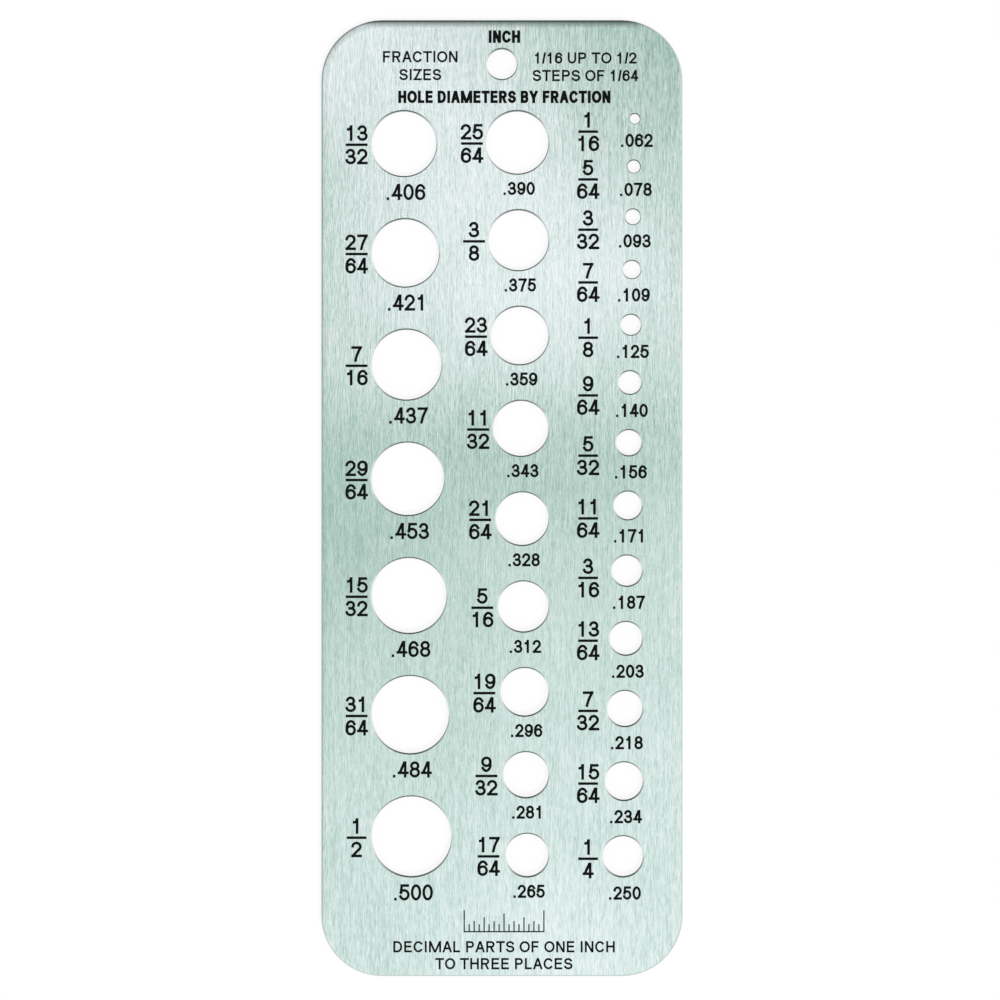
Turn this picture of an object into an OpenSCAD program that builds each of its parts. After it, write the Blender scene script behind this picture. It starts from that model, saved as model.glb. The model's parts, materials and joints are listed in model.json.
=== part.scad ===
// Drill size gauge: a flat sheet of brushed stainless steel with rounded corners,
// three columns of sized holes and one hole to hang it by.
// It lies on its back with the marked face up. Sizes are in millimetres.
// Origin: centre of the back face. X runs across the sheet, Y towards the hanging hole.

/* [Sheet] */
// Length of the sheet
plate_l = 152.4; // [125:0.2:220]
// Width of the sheet
plate_w = 57.6; // [50:0.2:90]
// Thickness of the sheet
plate_t = 1.2; // [0.8:0.1:3]
// Radius of the four corners
corner_r = 9.7; // [4:0.1:18]
// Radius rolled on the outer edges, front and back
edge_r = 0.3; // [0.05:0.05:0.35]

/* [Drill sizes in 64ths of an inch] */
// Smallest drill in the small column
small_first = 4; // [2:1:8]
// Largest drill in the small column
small_last = 16; // [12:1:18]
// Largest drill in the middle column
middle_last = 25; // [20:1:27]
// Largest drill in the large column
large_last = 32; // [28:1:34]

/* [Drill holes] */
// Play on the diameter of a drill in the hole of its own size
drill_play = 0.05; // [0.02:0.01:0.1]
// Width of the bevel rolled round both ends of the larger holes
bevel_w = 0.2; // [0.1:0.05:0.4]
// Depth of that bevel
bevel_h = 0.12; // [0.05:0.01:0.25]
// Widest bevel of a small hole, as a share of its diameter
small_bevel = 0.05; // [0.03:0.01:0.1]

/* [Columns] */
// Top of the sheet to the first hole of the large and middle columns
head_margin = 14.5; // [12:0.1:20]
// Top of the sheet to the first hole of the small column
small_head_margin = 14.9; // [12:0.1:20]
// Bottom of the sheet to the last hole of every column
foot_margin = 15.9; // [4:0.1:24]
// Left edge of the sheet to the left sides of the large column
left_inset = 8; // [4:0.1:12]
// Right edge of the sheet to the centre of the smallest hole
small_head_inset = 7.6; // [4:0.1:12]
// Right edge of the sheet to the centre of the small column's last hole
small_foot_inset = 9.5; // [6:0.1:12]

/* [Hanging hole] */
// Diameter of the hanging hole
hang_d = 4.8; // [3:0.1:7]
// Top of the sheet to the centre of the hanging hole
hang_drop = 7; // [5:0.1:8]

/* [Hidden] */
$fn = 96;

inch = 25.4;
steps_per_inch = 64;
// A cutter runs past the faces that it opens
overrun = 0.5;

// Sizes of each column from its head to its foot
small_sizes = [for (n = [small_first : small_last]) n];
middle_sizes = [for (n = [middle_last : -1 : small_last + 1]) n];
large_sizes = [for (n = [middle_last + 1 : large_last]) n];

function hole_d(size) = size * inch / steps_per_inch + drill_play;
function last(list) = list[len(list) - 1];

// Height of the first so many holes of a column, laid end to end
function stacked(sizes, count) =
    count == 0 ? 0 : stacked(sizes, count - 1) + hole_d(sizes[count - 1]);

// A column runs from its head margin to the foot margin, with equal webs between its holes
function web(sizes, head) =
    (plate_l - head - foot_margin - stacked(sizes, len(sizes))) / (len(sizes) - 1);
function hole_y(sizes, head, i) =
    plate_l / 2 - head - stacked(sizes, i) - i * web(sizes, head) - hole_d(sizes[i]) / 2;

// The large column lines up on its left sides
large_left = left_inset - plate_w / 2;
function large_x(size) = large_left + hole_d(size) / 2;

// The small column steps inwards in proportion to the hole's diameter
function small_share(size) =
    (hole_d(size) - hole_d(small_first)) / (hole_d(small_last) - hole_d(small_first));
function small_x(size) =
    plate_w / 2 - small_head_inset - (small_foot_inset - small_head_inset) * small_share(size);

// The middle column lines up on its right sides.
// Its last hole has equal gaps to those beside it, which leave room for the fractions.
large_right = large_left + hole_d(large_last);
small_left = small_x(small_last) - hole_d(small_last) / 2;
middle_right = (large_right + small_left + hole_d(last(middle_sizes))) / 2;
function middle_x(size) = middle_right - hole_d(size) / 2;

// Half of the sheet's section, from its middle out to a rolled edge
module half_section(reach) {
    translate([0, edge_r]) square([reach, plate_t - 2 * edge_r]);
    square([reach - edge_r, plate_t]);
    for (z = [edge_r, plate_t - edge_r])
        translate([reach - edge_r, z]) circle(edge_r);
}

// Strip of sheet along Y, with its two long edges rolled
module strip(w, l) {
    rotate([90, 0, 0])
        linear_extrude(l, center = true) {
            half_section(w / 2);
            mirror([1, 0]) half_section(w / 2);
        }
}

// The sheet before it is pierced: two crossed strips and four round corners
module blank() {
    core_w = plate_w - 2 * corner_r;
    core_l = plate_l - 2 * corner_r;
    strip(plate_w, core_l);
    rotate(90) strip(plate_l, core_w);
    for (x = [-core_w / 2, core_w / 2], y = [-core_l / 2, core_l / 2])
        translate([x, y]) rotate_extrude() half_section(corner_r);
}

// Cutter for a round hole that is bevelled at the back and the front.
// A small hole has a bevel in proportion to its diameter.
module hole(d) {
    r = d / 2;
    bevel = min(bevel_w, d * small_bevel);
    flare = r + bevel * (bevel_h + overrun) / bevel_h;
    rotate_extrude()
        polygon([
            [0, -overrun],
            [flare, -overrun],
            [r, bevel_h],
            [r, plate_t - bevel_h],
            [flare, plate_t + overrun],
            [0, plate_t + overrun]
        ]);
}

module large_column() {
    for (i = [0 : len(large_sizes) - 1])
        translate([large_x(large_sizes[i]), hole_y(large_sizes, head_margin, i)])
            hole(hole_d(large_sizes[i]));
}

module middle_column() {
    for (i = [0 : len(middle_sizes) - 1])
        translate([middle_x(middle_sizes[i]), hole_y(middle_sizes, head_margin, i)])
            hole(hole_d(middle_sizes[i]));
}

module small_column() {
    for (i = [0 : len(small_sizes) - 1])
        translate([small_x(small_sizes[i]), hole_y(small_sizes, small_head_margin, i)])
            hole(hole_d(small_sizes[i]));
}

module hanging_hole() {
    translate([0, plate_l / 2 - hang_drop]) hole(hang_d);
}

// The whole gauge, pierced from one sheet
module gauge_plate() {
    color("#cbded8")
        difference() {
            blank();
            large_column();
            middle_column();
            small_column();
            hanging_hole();
        }
}

gauge_plate();
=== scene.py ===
import json
import math

import bmesh
import bpy
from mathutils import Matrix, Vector

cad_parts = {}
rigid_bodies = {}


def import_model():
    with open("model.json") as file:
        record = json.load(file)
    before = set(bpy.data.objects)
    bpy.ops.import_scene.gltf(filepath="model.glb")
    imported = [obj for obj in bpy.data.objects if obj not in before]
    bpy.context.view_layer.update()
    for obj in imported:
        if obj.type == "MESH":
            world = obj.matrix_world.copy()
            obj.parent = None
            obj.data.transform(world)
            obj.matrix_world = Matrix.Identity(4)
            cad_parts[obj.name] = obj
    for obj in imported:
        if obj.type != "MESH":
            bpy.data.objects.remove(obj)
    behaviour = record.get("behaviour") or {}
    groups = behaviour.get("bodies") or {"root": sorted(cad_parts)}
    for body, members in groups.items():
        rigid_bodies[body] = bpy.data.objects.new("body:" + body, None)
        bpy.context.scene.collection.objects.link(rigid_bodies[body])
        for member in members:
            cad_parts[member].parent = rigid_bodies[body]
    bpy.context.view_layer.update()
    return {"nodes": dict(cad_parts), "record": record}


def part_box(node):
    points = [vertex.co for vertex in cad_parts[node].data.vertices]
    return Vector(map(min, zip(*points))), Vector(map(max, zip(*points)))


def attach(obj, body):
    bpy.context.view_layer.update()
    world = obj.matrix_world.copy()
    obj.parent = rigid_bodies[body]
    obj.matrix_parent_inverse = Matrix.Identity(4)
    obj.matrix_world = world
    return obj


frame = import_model()
scene = bpy.context.scene
scene.view_settings.view_transform = "Standard"

mm = 0.001
inch = 25.4 * mm
sixtyFourths = 64

plate = frame["nodes"]["gauge_plate"]
plateLow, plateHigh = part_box("gauge_plate")
faceZ = plateHigh.z  # the marked face
print("frame loaded:", plate.name, "face at", round(faceZ / mm, 3), "mm")


# Colours are picked as screen values from 0 to 255
def screenColor(red, green, blue):
    def toLinear(level):
        share = level / 255
        return share / 12.92 if share <= 0.04045 else ((share + 0.055) / 1.055) ** 2.4
    return (toLinear(red), toLinear(green), toLinear(blue), 1.0)


# Node helpers
def addNode(tree, kind, x, y, **settings):
    node = tree.nodes.new(kind)
    node.location = (x, y)
    for name, value in settings.items():
        setattr(node, name, value)
    return node


def join(tree, fromSocket, toSocket):
    tree.links.new(fromSocket, toSocket)


# An input takes a link or a plain value
def feed(tree, value, socket):
    if isinstance(value, bpy.types.NodeSocket):
        join(tree, value, socket)
    else:
        socket.default_value = value


def addSocket(tree, name, inOut, kind, default=None):
    socket = tree.interface.new_socket(name=name, in_out=inOut, socket_type=kind)
    if default is not None:
        socket.default_value = default
    return socket


def mathNode(tree, operation, x, y, *values):
    node = addNode(tree, "ShaderNodeMath", x, y, operation=operation)
    for value, socket in zip(values, node.inputs):
        feed(tree, value, socket)
    return node.outputs[0]


def vectorNode(tree, operation, x, y, *values):
    node = addNode(tree, "ShaderNodeVectorMath", x, y, operation=operation)
    for value, socket in zip(values, node.inputs):
        feed(tree, value, socket)
    return node.outputs["Value" if operation in ("LENGTH", "DOT_PRODUCT") else "Vector"]


def rangeNode(tree, x, y, value, fromLimits, toLimits=(0.0, 1.0)):
    node = addNode(tree, "ShaderNodeMapRange", x, y)
    join(tree, value, node.inputs["Value"])
    node.inputs["From Min"].default_value, node.inputs["From Max"].default_value = fromLimits
    node.inputs["To Min"].default_value, node.inputs["To Max"].default_value = toLimits
    return node.outputs["Result"]


def mixColorNode(tree, x, y, factor, first, second):
    node = addNode(tree, "ShaderNodeMix", x, y, data_type="RGBA")
    for value, index in ((factor, 0), (first, 6), (second, 7)):  # the node's colour sockets
        feed(tree, value, node.inputs[index])
    return node.outputs[2]


# Noises stretched along Y. Widths and lengths are shares of the grain's own,
# and the noise between the limits is spread over 0 to 1.
grainStyle = {
    "noiseRoughness": 0.65,
    "fine": {"width": 1.0, "length": 1.0, "detail": 3.0, "limits": (0.28, 0.72), "share": 0.72},
    "long": {"width": 2.4, "length": 7.0, "detail": 3.0, "limits": (0.3, 0.7), "share": 0.28},
    "scratch": {"width": 0.7, "length": 11.0, "detail": 2.0, "limits": (0.66, 0.74)},  # the sharpest peaks
    "cloud": {"detail": 2.0, "limits": (0.3, 0.7)},
}


# Brushed grain along Y, shared by the bare steel and by the ink that lies on it
def makeBrushGrain(style):
    tree = bpy.data.node_groups.new("brushGrain", "ShaderNodeTree")
    addSocket(tree, "Grain Width", "INPUT", "NodeSocketFloat", 0.2)  # mm
    addSocket(tree, "Grain Length", "INPUT", "NodeSocketFloat", 2.0)  # mm
    addSocket(tree, "Cloud Size", "INPUT", "NodeSocketFloat", 30.0)  # mm
    addSocket(tree, "Streak", "OUTPUT", "NodeSocketFloat")
    addSocket(tree, "Scratch", "OUTPUT", "NodeSocketFloat")
    addSocket(tree, "Cloud", "OUTPUT", "NodeSocketFloat")
    inputs = addNode(tree, "NodeGroupInput", -1200, 0)
    outputs = addNode(tree, "NodeGroupOutput", 700, 0)
    place = addNode(tree, "ShaderNodeTexCoord", -1200, 300)
    inMm = addNode(tree, "ShaderNodeVectorMath", -1000, 300, operation="SCALE")
    inMm.inputs["Scale"].default_value = 1 / mm
    join(tree, place.outputs["Object"], inMm.inputs[0])

    def stretchedNoise(y, noiseStyle):
        grainWidth, grainLength = inputs.outputs["Grain Width"], inputs.outputs["Grain Length"]
        width = mathNode(tree, "MULTIPLY", -1000, y, grainWidth, noiseStyle["width"])
        length = mathNode(tree, "MULTIPLY", -1000, y - 160, grainLength, noiseStyle["length"])
        cell = addNode(tree, "ShaderNodeCombineXYZ", -800, y)
        join(tree, width, cell.inputs["X"])
        join(tree, length, cell.inputs["Y"])
        join(tree, width, cell.inputs["Z"])
        scaled = vectorNode(tree, "DIVIDE", -600, y, inMm.outputs[0], cell.outputs[0])
        noise = addNode(tree, "ShaderNodeTexNoise", -400, y)
        noise.inputs["Scale"].default_value = 1.0
        noise.inputs["Detail"].default_value = noiseStyle["detail"]
        noise.inputs["Roughness"].default_value = style["noiseRoughness"]
        join(tree, scaled, noise.inputs["Vector"])
        return rangeNode(tree, -200, y, noise.outputs["Fac"], noiseStyle["limits"])

    fine = mathNode(tree, "MULTIPLY", 0, 200, stretchedNoise(200, style["fine"]), style["fine"]["share"])
    long = mathNode(tree, "MULTIPLY", 0, -100, stretchedNoise(-100, style["long"]), style["long"]["share"])
    join(tree, mathNode(tree, "ADD", 200, 100, fine, long), outputs.inputs["Streak"])
    join(tree, stretchedNoise(-400, style["scratch"]), outputs.inputs["Scratch"])

    cloudScale = mathNode(tree, "DIVIDE", -800, -800, 1.0, inputs.outputs["Cloud Size"])
    cloud = addNode(tree, "ShaderNodeTexNoise", -400, -800)
    cloud.inputs["Detail"].default_value = style["cloud"]["detail"]
    join(tree, inMm.outputs[0], cloud.inputs["Vector"])
    join(tree, cloudScale, cloud.inputs["Scale"])
    clouds = rangeNode(tree, -200, -800, cloud.outputs["Fac"], style["cloud"]["limits"])
    join(tree, clouds, outputs.inputs["Cloud"])
    return tree


brushGrain = makeBrushGrain(grainStyle)
print("shader group built:", brushGrain.name)


def startMaterial(name):
    material = bpy.data.materials.new(name)
    material.use_nodes = True
    tree = material.node_tree
    tree.nodes.clear()
    shader = addNode(tree, "ShaderNodeBsdfPrincipled", 900, 0)
    output = addNode(tree, "ShaderNodeOutputMaterial", 1200, 0)
    join(tree, shader.outputs["BSDF"], output.inputs["Surface"])
    return material, tree, shader


def addGrain(tree, style):
    grain = addNode(tree, "ShaderNodeGroup", -700, 0, node_tree=brushGrain)
    grain.inputs["Grain Width"].default_value = style["grainWidth"]
    grain.inputs["Grain Length"].default_value = style["grainLength"]
    grain.inputs["Cloud Size"].default_value = style["cloudSize"]
    return grain


def addBump(tree, shader, height, strength, distance):
    bump = addNode(tree, "ShaderNodeBump", 650, -350)
    bump.inputs["Strength"].default_value = strength
    bump.inputs["Distance"].default_value = distance
    join(tree, height, bump.inputs["Height"])
    join(tree, bump.outputs["Normal"], shader.inputs["Normal"])


steelStyle = {
    "grainWidth": 0.14,  # mm
    "grainLength": 1.4,  # mm
    "cloudSize": 34.0,  # mm
    "low": screenColor(146, 176, 164),
    "middle": screenColor(200, 223, 215),
    "high": screenColor(242, 247, 247),
    "streakShare": 0.86,
    "cloudShare": 0.16,
    "scratchLift": 0.35,
    "roughness": (0.11, 0.18),
    "brushing": 0.75,  # how much rougher across the brush lines than along them
    "brushLine": (0.05, 1.0, 0.03),  # near Y, but square to no wall
    "edgeLevel": (0.88, 0.97),  # how level the surface is, from a rolled edge to a flat face
    "wallLevel": (0.05, 0.15),  # and from a sheared wall to a rolled edge
    "rolled": screenColor(218, 228, 224),  # round the holes
    "rimPaintedShade": screenColor(104, 112, 109),  # painted shade on the hole rims that face along Y
    "rimShadeTurn": (0.2, 0.5),  # how nearly a rim faces along Y, from the bright rim colour to full painted shade
    "cornerRadius": 9.7 * mm,
    "outerEdge": screenColor(194, 204, 200),
    "outerReach": (0.54 * mm, 0.45 * mm),  # in from the outline; the rolled edge lies inside this
    "paintedHeadShade": screenColor(86, 98, 93),  # painted shade: the outer edge is darkened across the head, by the hanging hole
    "headShadeTurn": (0.925, 1.0),  # how nearly an edge faces along Y, from unshaded to full painted shade
    "paintedShade": 0.95,  # and painted shade darkens the face beside it towards the edge
    "shadeReach": (1.3 * mm, 0.2 * mm),
    "leftTowards": (-0.6, 0.8, 0.0),  # the upper left corner has half of that painted shade
    "leftTurn": (0.5, 1.0),
    "leftShade": 0.5,
    "cut": screenColor(112, 120, 117),  # sheared walls
    "cutRoughness": 0.36,
    "bump": 0.18,
    "bumpDepth": 0.02 * mm,
}


# The bright and dim lines that the brush left
def addBrushedColor(tree, grain, style):
    lowest = 0.5 - 0.5 * (style["streakShare"] + style["cloudShare"])
    streak = mathNode(tree, "MULTIPLY_ADD", -450, 150, grain.outputs["Streak"], style["streakShare"], lowest)
    tone = mathNode(tree, "MULTIPLY", -450, -50, grain.outputs["Cloud"], style["cloudShare"])
    ramp = addNode(tree, "ShaderNodeValToRGB", -50, 150)
    ramp.color_ramp.elements[0].color = style["low"]
    ramp.color_ramp.elements[1].color = style["high"]
    ramp.color_ramp.elements.new(0.5).color = style["middle"]
    join(tree, mathNode(tree, "ADD", -250, 100, streak, tone), ramp.inputs["Fac"])
    scratch = mathNode(tree, "MULTIPLY", -50, -150, grain.outputs["Scratch"], style["scratchLift"])
    return mixColorNode(tree, 250, 150, scratch, ramp.outputs["Color"], style["high"])


# Masks for the outer edge, which is told from the rims of the holes by the distance
# past the centres of the corners, and for the painted shade along its head, its upper left corner and the
# face beside them
def addOuterMasks(tree, style):
    radius = style["cornerRadius"]
    cornerCentre = (plateHigh.x - radius, plateHigh.y - radius, plateHigh.z)
    place = addNode(tree, "ShaderNodeTexCoord", -1450, -1100).outputs["Object"]
    quarter = vectorNode(tree, "ABSOLUTE", -1250, -1100, place)
    past = vectorNode(tree, "SUBTRACT", -1050, -1100, quarter, cornerCentre)
    reach = vectorNode(tree, "MAXIMUM", -850, -1100, past, (0.0, 0.0, 0.0))
    distance = vectorNode(tree, "LENGTH", -650, -1100, reach)
    outer = rangeNode(tree, -250, -1100, distance, [radius - depth for depth in style["outerReach"]])
    # Painted shade on the face, growing towards the edge
    shadeLimits = [radius - depth for depth in style["shadeReach"]]
    paintedShade = rangeNode(tree, -250, -1350, distance, shadeLimits, (0.0, style["paintedShade"]))

    # The way that the nearest edge faces
    outward = vectorNode(tree, "NORMALIZE", -650, -1600, reach)
    facing = vectorNode(tree, "MULTIPLY", -450, -1600, outward, vectorNode(tree, "SIGN", -650, -1850, place))
    alongY = vectorNode(tree, "DOT_PRODUCT", -250, -1600, facing, (0.0, 1.0, 0.0))
    headShadeMask = rangeNode(tree, -50, -1600, alongY, style["headShadeTurn"])
    # Painted shade, half as strong, towards the upper left corner
    toLeft = vectorNode(tree, "DOT_PRODUCT", -250, -1850, facing, style["leftTowards"])
    left = rangeNode(tree, -50, -1850, toLeft, style["leftTurn"], (0.0, style["leftShade"]))
    shadedSide = mathNode(tree, "MAXIMUM", 150, -1600, headShadeMask, left)
    return outer, headShadeMask, mathNode(tree, "MULTIPLY", 350, -1350, paintedShade, shadedSide)


def makeSteel(style):
    material, tree, shader = startMaterial("brushedSteel")
    grain = addGrain(tree, style)
    brushed = addBrushedColor(tree, grain, style)

    # Only the flat faces are brushed: the edges were rolled and the walls sheared
    surface = addNode(tree, "ShaderNodeNewGeometry", -450, -350)
    parts = addNode(tree, "ShaderNodeSeparateXYZ", -250, -350)
    join(tree, surface.outputs["Normal"], parts.inputs[0])
    level = mathNode(tree, "ABSOLUTE", -50, -350, parts.outputs["Z"])
    edge = rangeNode(tree, 150, -350, level, style["edgeLevel"], (1.0, 0.0))
    wall = rangeNode(tree, 150, -600, level, style["wallLevel"], (1.0, 0.0))
    # Painted shade: hole rims that face along Y are given a dark colour
    turn = mathNode(tree, "ABSOLUTE", -50, -850, parts.outputs["Y"])
    across = rangeNode(tree, 150, -850, turn, style["rimShadeTurn"])
    outer, headShadeMask, paintedShade = addOuterMasks(tree, style)
    holeRimAndShade = mixColorNode(tree, 250, 350, across, style["rolled"], style["rimPaintedShade"])
    # Painted shade: the outer edge is darkened where it faces the head
    outerEdge = mixColorNode(tree, 250, 550, headShadeMask, style["outerEdge"], style["paintedHeadShade"])
    edgeColor = mixColorNode(tree, 450, 350, outer, holeRimAndShade, outerEdge)
    # Painted shade on the face along the head and the upper left corner
    shaded = mixColorNode(tree, 450, 550, paintedShade, brushed, style["paintedHeadShade"])
    rolled = mixColorNode(tree, 450, 150, edge, shaded, edgeColor)
    join(tree, mixColorNode(tree, 650, 150, wall, rolled, style["cut"]), shader.inputs["Base Color"])

    rough = rangeNode(tree, 150, -100, grain.outputs["Streak"], (0.0, 1.0), style["roughness"])
    roughMix = addNode(tree, "ShaderNodeMix", 450, -100, data_type="FLOAT")
    join(tree, wall, roughMix.inputs[0])
    join(tree, rough, roughMix.inputs[2])
    roughMix.inputs[3].default_value = style["cutRoughness"]
    join(tree, roughMix.outputs[0], shader.inputs["Roughness"])
    shader.inputs["Metallic"].default_value = 1.0
    shader.inputs["Anisotropic"].default_value = style["brushing"]
    tangent = vectorNode(tree, "CROSS_PRODUCT", 450, -550, surface.outputs["Normal"], style["brushLine"])
    join(tree, tangent, shader.inputs["Tangent"])

    height = mathNode(tree, "ADD", 450, -350, grain.outputs["Streak"], grain.outputs["Scratch"])
    addBump(tree, shader, height, style["bump"], style["bumpDepth"])
    return material


inkStyle = {
    "grainWidth": 0.3,  # mm
    "grainLength": 1.5,  # mm
    "cloudSize": 1.2,  # mm
    "full": screenColor(3, 4, 5),
    "thin": screenColor(18, 20, 21),
    "roughness": (0.42, 0.62),
    "gloss": 0.07,
    "bump": 0.2,
    "bumpDepth": 0.01 * mm,
}


def makeInk(style):
    material, tree, shader = startMaterial("markingInk")
    grain = addGrain(tree, style)
    thinShare = mathNode(tree, "MULTIPLY", -250, 150, grain.outputs["Streak"], grain.outputs["Cloud"])
    color = mixColorNode(tree, 250, 150, thinShare, style["full"], style["thin"])
    join(tree, color, shader.inputs["Base Color"])
    rough = rangeNode(tree, 250, -100, grain.outputs["Cloud"], (0.0, 1.0), style["roughness"])
    join(tree, rough, shader.inputs["Roughness"])
    shader.inputs["Specular IOR Level"].default_value = style["gloss"]
    addBump(tree, shader, grain.outputs["Streak"], style["bump"], style["bumpDepth"])
    return material


steel = makeSteel(steelStyle)
ink = makeInk(inkStyle)
plate.data.materials.clear()
plate.data.materials.append(steel)
print("materials built:", steel.name, ink.name)


# Numerals and capitals are drawn as pen strokes.
# A stroke's points run from 0 to 1 across (u) and up (v) in the box of its glyph.
typeStyle = {
    "arcStep": 12.0,  # degrees
    "figureAdvance": 0.75,  # in shares of the type's height
    "wordSpace": 0.36,
    "miterLimit": 1.8,
    "inkScale": 0.1 * mm,  # what one unit of height stands for
    "inkAbove": 0.25,
    "inkBelow": 0.1,
    "weldGap": 0.001,  # corners nearer than this share of the height become one
    "slimGlyph": 0.2,  # a glyph slimmer than this is as wide as the pen
    "figures": {"pen": 0.172, "width": 1.0, "spacing": 1.0},
    "decimals": {"pen": 0.182, "width": 0.94, "spacing": 0.94},
    "largeDecimals": {"pen": 0.163, "width": 0.95, "spacing": 0.95},
    "plain": {"pen": 0.175, "width": 0.98, "spacing": 0.88},
    "bold": {"pen": 0.235, "width": 0.84, "spacing": 0.45},
}


def arc(u, v, ru, rv, start, end):
    steps = max(2, math.ceil(abs(end - start) / typeStyle["arcStep"]))
    angles = [math.radians(start + (end - start) * i / steps) for i in range(steps + 1)]
    return [(u + ru * math.cos(a), v + rv * math.sin(a)) for a in angles]


def pen(*points):
    return ("pen", list(points))


def loop(u, v, ru, rv):
    return ("loop", arc(u, v, ru, rv, 0, 360)[:-1])


def slant(*points):
    return ("slant", list(points))


# Each glyph has its side bearing, its width and its strokes
glyphShapes = {
    "0": (0.035, 0.68, [loop(0.5, 0.5, 0.5, 0.5)]),
    "1": (0.13, 0.36, [pen((1, 0), (1, 1)), pen(*arc(0, 1, 0.9, 0.22, -90, -10))]),
    "2": (0.035, 0.68, [pen(*arc(0.48, 0.71, 0.48, 0.29, 172, -38), (0.42, 0.28), (0.06, 0.02)),
                        pen((0, 0), (1, 0))]),
    "3": (0.035, 0.68, [pen(*arc(0.47, 0.755, 0.42, 0.245, 165, -90)),
                        pen(*arc(0.49, 0.255, 0.5, 0.255, 90, -168)),
                        pen((0.36, 0.51), (0.48, 0.51))]),
    "4": (0.02, 0.71, [pen((0.74, 0), (0.74, 1)), pen((0, 0.25), (1, 0.25)), slant((0.06, 0.24), (0.7, 1))]),
    "5": (0.035, 0.68, [pen((0.16, 1), (0.92, 1)), pen((0.16, 1), (0.07, 0.48)),
                        pen(*arc(0.48, 0.325, 0.52, 0.325, 146, -158))]),
    "6": (0.035, 0.68, [loop(0.5, 0.31, 0.5, 0.31), pen(*arc(0.53, 0.5, 0.53, 0.5, 35, 205))]),
    "7": (0.035, 0.68, [pen((0, 1), (1, 1)), pen((1, 1), (0.72, 0.67), (0.5, 0.34), (0.36, 0))]),
    "8": (0.035, 0.68, [loop(0.5, 0.765, 0.43, 0.235), loop(0.5, 0.27, 0.5, 0.27)]),
    "9": (0.035, 0.68, [loop(0.5, 0.69, 0.5, 0.31), pen(*arc(0.47, 0.5, 0.53, 0.5, 215, 385))]),
    ".": (0.12, 0.14, [pen((0, 0), (0, 0.01))]),
    "/": (0.02, 0.36, [slant((0, 0), (1, 1))]),
    "A": (0.02, 0.88, [slant((0, 0), (0.5, 1)), slant((1, 0), (0.5, 1)), pen((0.24, 0.32), (0.76, 0.32))]),
    "B": (0.1, 0.74, [pen((0, 0), (0, 1)), pen((0, 1), *arc(0.58, 0.765, 0.36, 0.235, 90, -90), (0, 0.53)),
                      pen((0, 0.53), *arc(0.6, 0.265, 0.4, 0.265, 90, -90), (0, 0))]),
    "C": (0.06, 0.86, [pen(*arc(0.52, 0.5, 0.52, 0.5, 42, 318))]),
    "D": (0.1, 0.8, [pen((0, 0), (0, 1)), pen((0, 1), *arc(0.45, 0.5, 0.55, 0.5, 90, -90), (0, 0))]),
    "E": (0.1, 0.7, [pen((0, 0), (0, 1)), pen((0, 1), (0.97, 1)), pen((0, 0.53), (0.9, 0.53)),
                     pen((0, 0), (1, 0))]),
    "F": (0.1, 0.66, [pen((0, 0), (0, 1)), pen((0, 1), (1, 1)), pen((0, 0.52), (0.86, 0.52))]),
    "H": (0.1, 0.78, [pen((0, 0), (0, 1)), pen((1, 0), (1, 1)), pen((0, 0.53), (1, 0.53))]),
    "I": (0.12, 0.14, [pen((0, 0), (0, 1))]),
    "L": (0.1, 0.62, [pen((0, 0), (0, 1)), pen((0, 0), (1, 0))]),
    "M": (0.1, 1.1, [pen((0, 0), (0, 1)), pen((1, 0), (1, 1)), slant((0, 1), (0.5, 0)),
                     slant((1, 1), (0.5, 0))]),
    "N": (0.1, 0.78, [pen((0, 0), (0, 1)), pen((1, 0), (1, 1)), slant((0, 1), (1, 0))]),
    "O": (0.05, 0.94, [loop(0.5, 0.5, 0.5, 0.5)]),
    "P": (0.1, 0.72, [pen((0, 0), (0, 1)), pen((0, 1), *arc(0.6, 0.74, 0.4, 0.26, 90, -90), (0, 0.48))]),
    "R": (0.1, 0.78, [pen((0, 0), (0, 1)), pen((0, 1), *arc(0.6, 0.745, 0.36, 0.255, 90, -90), (0, 0.49)),
                      slant((0.54, 0.48), (0.96, 0))]),
    "S": (0.06, 0.78, [pen(*arc(0.49, 0.755, 0.45, 0.245, 18, 270),
                           *arc(0.51, 0.255, 0.49, 0.255, 84, -165))]),
    "T": (0.03, 0.8, [pen((0, 1), (1, 1)), pen((0.5, 0), (0.5, 1))]),
    "U": (0.1, 0.77, [pen((0, 1), *arc(0.5, 0.38, 0.5, 0.38, 180, 360), (1, 1))]),
    "Y": (0.02, 0.88, [slant((0, 1), (0.5, 0.4)), slant((1, 1), (0.5, 0.4)), pen((0.5, 0), (0.5, 0.44))]),
    "Z": (0.04, 0.78, [pen((0, 1), (1, 1)), pen((0, 0), (1, 0)), slant((0.94, 1), (0.06, 0))]),
}


# The two sides of a pen stroke, mitred at its corners
def strokeSides(points, penWidth, closed):
    spots = [Vector(p) for p in points]
    if not closed:  # square ends reach half the pen past the last points
        spots[0] += (spots[0] - spots[1]).normalized() * penWidth / 2
        spots[-1] += (spots[-1] - spots[-2]).normalized() * penWidth / 2
    left, right = [], []
    for i, spot in enumerate(spots):
        before = spots[i - 1] if closed or i > 0 else None
        after = spots[(i + 1) % len(spots)] if closed or i + 1 < len(spots) else None
        legs = [(a, b) for a, b in ((before, spot), (spot, after)) if a is not None and b is not None]
        headings = [(b - a).normalized() for a, b in legs]
        normals = [Vector((-h.y, h.x)) for h in headings]
        outward = sum(normals, Vector((0, 0))).normalized()
        stretch = 1 / max(outward.dot(normals[0]), 1 / typeStyle["miterLimit"])
        left.append(spot + outward * stretch * penWidth / 2)
        right.append(spot - outward * stretch * penWidth / 2)
    return left, right


# A slanted stroke is cut level at both ends
def slantSides(points, penWidth):
    low, high = [Vector(p) for p in points]
    half = Vector((penWidth / 2 * (high - low).length / abs(high.y - low.y), 0))
    return [low - half, high - half], [low + half, high + half]


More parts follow.
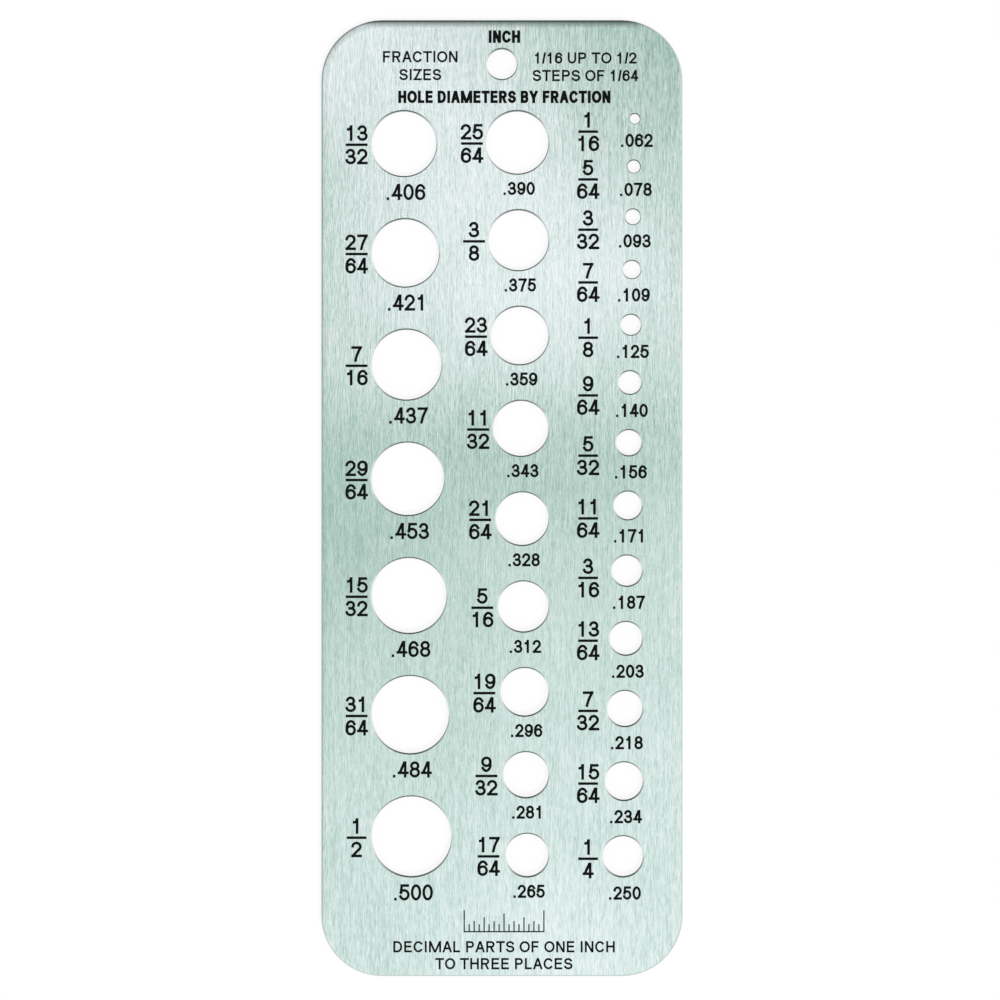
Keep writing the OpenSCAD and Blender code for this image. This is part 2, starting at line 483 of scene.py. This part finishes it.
# A closed ribbon of ink between the two sides
def addRibbon(mesh, left, right, closed):
    depths = (-typeStyle["inkBelow"], typeStyle["inkAbove"])

    def column(point):
        return [mesh.verts.new((point.x, point.y, z)) for z in depths]
    columns = [(column(a), column(b)) for a, b in zip(left, right)]
    count = len(columns)
    for i in range(count if closed else count - 1):
        (leftA, rightA), (leftB, rightB) = columns[i], columns[(i + 1) % count]
        mesh.faces.new((leftA[1], rightA[1], rightB[1], leftB[1]))
        mesh.faces.new((leftA[0], leftB[0], rightB[0], rightA[0]))
        mesh.faces.new((leftA[0], leftA[1], leftB[1], leftB[0]))
        mesh.faces.new((rightA[0], rightB[0], rightB[1], rightA[1]))
    if not closed:
        for leftEnd, rightEnd in (columns[0], columns[-1]):
            mesh.faces.new((leftEnd[0], rightEnd[0], rightEnd[1], leftEnd[1]))


# Welds the overlapping strokes of one glyph into one skin
def makeWeldTree():
    tree = bpy.data.node_groups.new("weldStrokes", "GeometryNodeTree")
    addSocket(tree, "Geometry", "INPUT", "NodeSocketGeometry")
    addSocket(tree, "Geometry", "OUTPUT", "NodeSocketGeometry")
    inputs = addNode(tree, "NodeGroupInput", -300, 0)
    outputs = addNode(tree, "NodeGroupOutput", 300, 0)
    weld = addNode(tree, "GeometryNodeMeshBoolean", 0, 0, operation="UNION", solver="EXACT")
    weld.inputs["Self Intersection"].default_value = True
    merge = addNode(tree, "GeometryNodeMergeByDistance", 150, 0)
    merge.inputs["Distance"].default_value = typeStyle["weldGap"]
    join(tree, inputs.outputs[0], weld.inputs["Mesh 2"])
    join(tree, weld.outputs["Mesh"], merge.inputs["Geometry"])
    join(tree, merge.outputs["Geometry"], outputs.inputs[0])
    return tree


# Evaluates an object's modifiers into a plain mesh
def bakedMesh(source, name):
    graph = bpy.context.evaluated_depsgraph_get()
    mesh = bpy.data.meshes.new_from_object(source.evaluated_get(graph))
    mesh.name = name
    return mesh


def linkedObject(name, mesh, collection):
    made = bpy.data.objects.new(name, mesh)
    collection.objects.link(made)
    return made


def makeGlyph(strokes, width, penWidth, name, collection, weldTree):
    def placed(points, inset):
        return [(penWidth / 2 + u * (width - penWidth), inset + v * (1 - 2 * inset)) for u, v in points]
    solid = bmesh.new()
    for kind, points in strokes:
        if kind == "slant":
            sides = slantSides(placed(points, 0.0), penWidth)
        else:
            sides = strokeSides(placed(points, penWidth / 2), penWidth, kind == "loop")
        addRibbon(solid, *sides, kind == "loop")
    bmesh.ops.recalc_face_normals(solid, faces=solid.faces)
    draft = linkedObject(name + "Draft", bpy.data.meshes.new(name + "Draft"), scene.collection)
    solid.to_mesh(draft.data)
    solid.free()
    if len(strokes) > 1:
        draft.modifiers.new("weld", "NODES").node_group = weldTree
    glyph = linkedObject(name, bakedMesh(draft, name), collection)
    bpy.data.objects.remove(draft)
    return glyph


def glyphWidth(letter, face):
    width = glyphShapes[letter][1]
    if width < typeStyle["slimGlyph"]:
        return typeStyle[face]["pen"]
    return width * typeStyle[face]["width"]


# One tray holds every glyph that is used; a sort number picks it out
class TypeTray:
    def __init__(self):
        self.collection = bpy.data.collections.new("typeTray")
        self.weldTree = makeWeldTree()
        self.numbers = {}

    def number(self, key):
        if key not in self.numbers:
            self.numbers[key] = len(self.numbers)
            name = "sort{:03d}".format(self.numbers[key])
            if key == "rule":  # a plain bar, one unit each way, centred
                solid = bmesh.new()
                sides = [[Vector((x, y)) for x in (-0.5, 0.5)] for y in (-0.5, 0.5)]
                addRibbon(solid, *sides, False)
                bmesh.ops.recalc_face_normals(solid, faces=solid.faces)
                mesh = bpy.data.meshes.new(name)
                solid.to_mesh(mesh)
                solid.free()
                linkedObject(name, mesh, self.collection)
            else:
                letter, face = key
                width, penWidth = glyphWidth(letter, face), typeStyle[face]["pen"]
                makeGlyph(glyphShapes[letter][2], width, penWidth, name, self.collection, self.weldTree)
        return self.numbers[key]


# Lays a line of type out from x = 0; gives each glyph's left side and the line's width
def layLine(text, face):
    style = typeStyle[face]
    laid, reach = [], 0.0
    for letter in text:
        if letter == " ":
            reach += typeStyle["wordSpace"] * style["width"]
            continue
        bearing, width = glyphShapes[letter][0] * style["spacing"], glyphWidth(letter, face)
        laid.append((letter, reach + bearing))
        reach += typeStyle["figureAdvance"] * style["width"] if letter.isdigit() else width + 2 * bearing
    return laid, reach


# A sheet of marks: where each sort is set, and at what size
class MarkSheet:
    def __init__(self, tray):
        self.tray = tray
        self.rows = []

    def rule(self, x, y, across, up):
        self.rows.append((self.tray.number("rule"), (x, y), (across, up)))

    def line(self, text, x, y, height, face):
        laid, width = layLine(text, face)
        for letter, left in laid:
            spot = (x + (left - width / 2) * height, y)
            self.rows.append((self.tray.number((letter, face)), spot, (height, height)))


# Sets one sort on every point of a sheet
def makeTypesetTree():
    tree = bpy.data.node_groups.new("setType", "GeometryNodeTree")
    addSocket(tree, "Geometry", "INPUT", "NodeSocketGeometry")
    addSocket(tree, "Tray", "INPUT", "NodeSocketCollection")
    addSocket(tree, "Ink", "INPUT", "NodeSocketMaterial")
    addSocket(tree, "Geometry", "OUTPUT", "NodeSocketGeometry")
    inputs = addNode(tree, "NodeGroupInput", -600, 0)
    outputs = addNode(tree, "NodeGroupOutput", 800, 0)
    sorts = addNode(tree, "GeometryNodeCollectionInfo", -300, -100)
    sorts.inputs["Separate Children"].default_value = True
    sorts.inputs["Reset Children"].default_value = True
    number = addNode(tree, "GeometryNodeInputNamedAttribute", -300, -300, data_type="INT")
    number.inputs["Name"].default_value = "sort"
    size = addNode(tree, "GeometryNodeInputNamedAttribute", -300, -500, data_type="FLOAT_VECTOR")
    size.inputs["Name"].default_value = "size"
    setOn = addNode(tree, "GeometryNodeInstanceOnPoints", 0, 0)
    setOn.inputs["Pick Instance"].default_value = True
    solid = addNode(tree, "GeometryNodeRealizeInstances", 250, 0)
    inked = addNode(tree, "GeometryNodeSetMaterial", 500, 0)
    join(tree, inputs.outputs["Geometry"], setOn.inputs["Points"])
    join(tree, inputs.outputs["Tray"], sorts.inputs["Collection"])
    join(tree, sorts.outputs[0], setOn.inputs["Instance"])
    join(tree, number.outputs["Attribute"], setOn.inputs["Instance Index"])
    join(tree, size.outputs["Attribute"], setOn.inputs["Scale"])
    join(tree, setOn.outputs[0], solid.inputs[0])
    join(tree, solid.outputs[0], inked.inputs["Geometry"])
    join(tree, inputs.outputs["Ink"], inked.inputs["Material"])
    join(tree, inked.outputs[0], outputs.inputs[0])
    return tree


def socketId(tree, name):
    return next(s.identifier for s in tree.interface.items_tree if s.name == name and s.in_out == "INPUT")


def printSheet(name, sheet, typesetTree):
    points = bpy.data.meshes.new(name + "Points")
    points.from_pydata([(x, y, faceZ) for number, (x, y), size in sheet.rows], [], [])
    sorts = points.attributes.new("sort", "INT", "POINT")
    sorts.data.foreach_set("value", [number for number, spot, size in sheet.rows])
    sizes = points.attributes.new("size", "FLOAT_VECTOR", "POINT")
    thick = typeStyle["inkScale"]
    scales = [(across, up, thick) for number, spot, (across, up) in sheet.rows]
    sizes.data.foreach_set("vector", [n for scale in scales for n in scale])
    draft = linkedObject(name + "Draft", points, scene.collection)
    setter = draft.modifiers.new("setType", "NODES")
    setter.node_group = typesetTree
    setter[socketId(typesetTree, "Tray")] = sheet.tray.collection
    setter[socketId(typesetTree, "Ink")] = ink
    piece = linkedObject(name, bakedMesh(draft, name), scene.collection)
    bpy.data.objects.remove(draft)
    for attribute in ("sort", "size"):
        if attribute in piece.data.attributes:
            piece.data.attributes.remove(piece.data.attributes[attribute])
    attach(piece, "root")
    print("printed", name, "with", len(sheet.rows), "marks and", len(piece.data.polygons), "faces")
    return piece


columnLasts = {"small": 16, "middle": 25, "large": 32}  # the largest size of each column


# The drill holes as the frame gives them
def readHoles():
    holes = []
    for mount in frame["record"]["mounts"]:
        if mount["name"].startswith("drill_"):
            x, y, z = mount["pos_m"]
            radius = mount["dims"]["r_mm"] * mm
            size = round(2 * radius / inch * sixtyFourths)
            column = next(name for name, last in columnLasts.items() if size <= last)
            holes.append({"x": x, "y": y, "radius": radius, "size": size, "column": column})
    return holes


holes = readHoles()
tray = TypeTray()

# The small column's fractions stand in one line; the others follow their holes
fractionStyle = {
    "height": 2.5 * mm,
    "ruleThickness": 0.42 * mm,
    "ruleLength": {"small": 3.15 * mm, "middle": 3.5 * mm, "large": 3.5 * mm},
    "halfRuleLength": 3.15 * mm,  # one half is set shorter
    "ruleGap": 0.62 * mm,  # between the rule and the figures above and below it
    # from the hole's side to the fraction's middle, growing with each size down the middle column
    "outset": {"small": 2.35 * mm, "middle": 2.22 * mm, "large": 2.35 * mm},
    "outsetGrowth": 0.066 * mm,
    # from the hole's middle down to the rule; the small sizes hang lower
    "drop": {"small": 0.38 * mm, "middle": 0.2 * mm, "large": 0.2 * mm},
    "lowered": {size: 2.07 * mm for size in range(4, 12)} | {12: 1.16 * mm},
}


def makeFractions(style):
    sheet = MarkSheet(tray)
    smallX = min(h["x"] - h["radius"] for h in holes if h["column"] == "small") - style["outset"]["small"]
    for hole in holes:
        size, column = hole["size"], hole["column"]
        x = smallX
        if column != "small":
            x = hole["x"] - hole["radius"] - style["outset"][column]
        if column == "middle":
            x -= style["outsetGrowth"] * (columnLasts["middle"] - size)
        y = hole["y"] - style["lowered"].get(size, style["drop"][column])
        shared = math.gcd(size, sixtyFourths)
        above, below = size // shared, sixtyFourths // shared
        length = style["halfRuleLength"] if below == 2 else style["ruleLength"][column]
        sheet.line(str(above), x, y + style["ruleGap"], style["height"], "figures")
        sheet.rule(x, y, length, style["ruleThickness"])
        sheet.line(str(below), x, y - style["ruleGap"] - style["height"], style["height"], "figures")
    return sheet


decimalStyle = {
    "gap": {"small": 1.57 * mm, "middle": 1.31 * mm, "large": 1.24 * mm},  # below the hole
    "height": {"small": 2.14 * mm, "middle": 2.11 * mm, "large": 2.6 * mm},
    "face": {"small": "decimals", "middle": "decimals", "large": "largeDecimals"},
    "shift": 0.24 * mm,  # to the right of the hole's middle
    "places": 1000,
}


def makeDecimals(style):
    sheet = MarkSheet(tray)
    for hole in holes:
        column = hole["column"]
        height = style["height"][column]
        digits = hole["size"] * style["places"] // sixtyFourths  # cut off, not rounded
        y = hole["y"] - hole["radius"] - style["gap"][column] - height
        sheet.line(".{:03d}".format(digits), hole["x"] + style["shift"], y, height, style["face"][column])
    return sheet


# Plain words about the scale: text, middle of the line, middle of its height, height, face
captionStyle = {
    "lines": [
        ("INCH", (0.4, 73.55), 2.0, "bold"),
        ("FRACTION", (-13.0, 70.35), 1.8, "plain"),
        ("SIZES", (-13.0, 67.5), 1.8, "plain"),
        ("1/16 UP TO 1/2", (13.3, 70.15), 1.8, "plain"),
        ("STEPS OF 1/64", (13.3, 67.35), 1.8, "plain"),
        ("HOLE DIAMETERS BY FRACTION", (0.4, 63.95), 1.98, "bold"),
        ("DECIMAL PARTS OF ONE INCH", (0.35, -71.5), 1.8, "plain"),
        ("TO THREE PLACES", (0.35, -74.2), 1.8, "plain"),
    ],
    "scaleMiddle": (0.35, -69.1),  # foot of a half inch scale
    "scaleLength": inch / 2,
    "scaleSteps": 16,
    "tickThickness": 0.2 * mm,
    "tickHeights": {1: 1.2, 2: 1.7, 4: 2.3, 8: 2.9, 16: 3.4},
}


def makeCaptions(style):
    sheet = MarkSheet(tray)
    for text, (x, y), height, face in style["lines"]:
        sheet.line(text, x * mm, (y - height / 2) * mm, height * mm, face)
    footX, footY = [n * mm for n in style["scaleMiddle"]]
    thickness, steps = style["tickThickness"], style["scaleSteps"]
    sheet.rule(footX, footY, style["scaleLength"] + thickness, thickness)
    for i in range(steps + 1):
        rank = math.gcd(i, steps)  # longer ticks at the halves, quarters and eighths
        height = style["tickHeights"][rank] * mm
        x = footX + (i / steps - 0.5) * style["scaleLength"]
        sheet.rule(x, footY + height / 2, thickness, height)
    return sheet


typesetTree = makeTypesetTree()
sheets = {
    "fractionMarks": makeFractions(fractionStyle),
    "decimalMarks": makeDecimals(decimalStyle),
    "captionMarks": makeCaptions(captionStyle),
}
for name, sheet in sheets.items():
    printSheet(name, sheet, typesetTree)
for sort in list(tray.collection.objects):
    bpy.data.objects.remove(sort)
bpy.data.collections.remove(tray.collection)


# Floor, light and camera
studioStyle = {
    "floorSize": 4.0,
    "floorDrop": 0.02 * mm,  # below the plate's back
    "floorColor": (0.9, 0.9, 0.9, 1.0),
    "floorGlow": 0.88,  # share of plain white that the camera sees
    "roomTowards": (0.4, -0.92, 0.0),  # the room is brighter on this side
    "roomEdge": 0.112,
    "ceiling": ((0.295, 0.5, 0.395, 1.0), (1.29, 1.195, 1.26, 1.0)),  # dim side and bright side
    "horizon": ((0.95, 0.96, 0.955, 1.0), (1.07, 1.06, 1.06, 1.0)),
    "horizonEdge": (0.8, 0.955),  # height at which the walls turn into the ceiling
    "cardTowards": (-0.5, 0.78, 0.27),  # a dark card stands here
    "cardEdge": (0.33, 0.8),
    "cardDepth": 0.52,
    "keyStrength": 1.3,
    "keyTurn": (35.0, 35.0),  # degrees off the vertical, and round from -Y towards +X
    "keySpread": 6.0,
    "softboxColor": (1.0, 0.652, 0.84),
    "softboxes": [  # place, size, turn in degrees and watts
        ((-0.058, 0.185, 0.85), (0.3, 0.078), -60.0, 0.109),
        ((-0.127, 0.209, 0.85), (0.221, 0.101), 2.7, 0.1015),
        ((-0.017, 0.07, 0.85), (0.07, 0.06), -76.0, 0.0225),
    ],
}


def makeFloor(style):
    half = style["floorSize"] / 2
    mesh = bpy.data.meshes.new("floor")
    corners = [(-half, -half), (half, -half), (half, half), (-half, half)]
    mesh.from_pydata([(x, y, plateLow.z - style["floorDrop"]) for x, y in corners], [], [(0, 1, 2, 3)])
    floor = linkedObject("floor", mesh, scene.collection)
    material = bpy.data.materials.new("palePaper")
    material.use_nodes = True
    tree = material.node_tree
    tree.nodes.clear()
    paper = addNode(tree, "ShaderNodeBsdfDiffuse", 0, 100)
    paper.inputs["Color"].default_value = style["floorColor"]
    glow = addNode(tree, "ShaderNodeEmission", 0, -100)
    rays = addNode(tree, "ShaderNodeLightPath", -400, 200)
    seen = mathNode(tree, "MAXIMUM", -200, 200, rays.outputs["Is Camera Ray"], rays.outputs["Is Glossy Ray"])
    share = mathNode(tree, "MULTIPLY", 0, 300, seen, style["floorGlow"])
    mix = addNode(tree, "ShaderNodeMixShader", 250, 0)
    output = addNode(tree, "ShaderNodeOutputMaterial", 450, 0)
    join(tree, share, mix.inputs[0])
    join(tree, paper.outputs[0], mix.inputs[1])
    join(tree, glow.outputs[0], mix.inputs[2])
    join(tree, mix.outputs[0], output.inputs["Surface"])
    mesh.materials.append(material)


def makeWorld(style):
    world = bpy.data.worlds.new("studio")
    scene.world = world
    world.use_nodes = True
    tree = world.node_tree
    tree.nodes.clear()
    looking = addNode(tree, "ShaderNodeTexCoord", -1000, 0).outputs["Generated"]

    def easedTowards(y, direction, fromLimits, toLimits=(0.0, 1.0)):
        towards = vectorNode(tree, "DOT_PRODUCT", -800, y, looking, direction)
        eased = rangeNode(tree, -600, y, towards, fromLimits, toLimits)
        eased.node.interpolation_type = "SMOOTHSTEP"
        return eased

    side = easedTowards(200, style["roomTowards"], (-style["roomEdge"], style["roomEdge"]))
    card = easedTowards(-100, style["cardTowards"], style["cardEdge"], (1.0, 1.0 - style["cardDepth"]))
    height = easedTowards(-400, (0.0, 0.0, 1.0), style["horizonEdge"])
    ceiling = mixColorNode(tree, -400, 300, side, *style["ceiling"])
    horizon = mixColorNode(tree, -400, 100, side, *style["horizon"])
    room = addNode(tree, "ShaderNodeBackground", 0, 100)
    join(tree, mixColorNode(tree, -200, 200, height, horizon, ceiling), room.inputs["Color"])
    join(tree, card, room.inputs["Strength"])
    white = addNode(tree, "ShaderNodeBackground", 0, -100)
    white.inputs["Color"].default_value = (1.0, 1.0, 1.0, 1.0)
    rays = addNode(tree, "ShaderNodeLightPath", -200, 400)
    mix = addNode(tree, "ShaderNodeMixShader", 250, 0)
    output = addNode(tree, "ShaderNodeOutputWorld", 450, 0)
    join(tree, rays.outputs["Is Camera Ray"], mix.inputs[0])
    join(tree, room.outputs[0], mix.inputs[1])
    join(tree, white.outputs[0], mix.inputs[2])
    join(tree, mix.outputs[0], output.inputs["Surface"])


def makeLights(style):
    sun = bpy.data.lights.new("keyLight", "SUN")
    sun.energy = style["keyStrength"]
    sun.angle = math.radians(style["keySpread"])
    key = linkedObject("keyLight", sun, scene.collection)
    off, turn = [math.radians(a) for a in style["keyTurn"]]
    key.rotation_euler = (off, 0.0, turn)
    key.visible_glossy = False  # it casts the shadow and leaves no glint on the rolled edges
    for place, (across, up), turn, power in style["softboxes"]:
        area = bpy.data.lights.new("softbox", "AREA")
        area.shape = "RECTANGLE"
        area.size, area.size_y = across, up
        area.energy = power
        area.color = style["softboxColor"]
        softbox = linkedObject("softbox", area, scene.collection)
        softbox.location = place
        softbox.rotation_euler = (0.0, 0.0, math.radians(turn))


cameraStyle = {
    "lens": 160.0,
    "sensor": 36.0,
    "frameWidth": 159.38 * mm,  # what the picture spans at the plate's face
    "aim": (-0.295 * mm, -0.3 * mm),  # the picture's middle on the plate
}


def makeCamera(style):
    data = bpy.data.cameras.new("camera")
    data.lens = style["lens"]
    data.sensor_width = style["sensor"]
    camera = linkedObject("camera", data, scene.collection)
    distance = style["frameWidth"] * style["lens"] / style["sensor"]
    camera.location = (*style["aim"], faceZ + distance)
    scene.camera = camera


makeFloor(studioStyle)
makeWorld(studioStyle)
makeLights(studioStyle)
makeCamera(cameraStyle)
print("studio built")
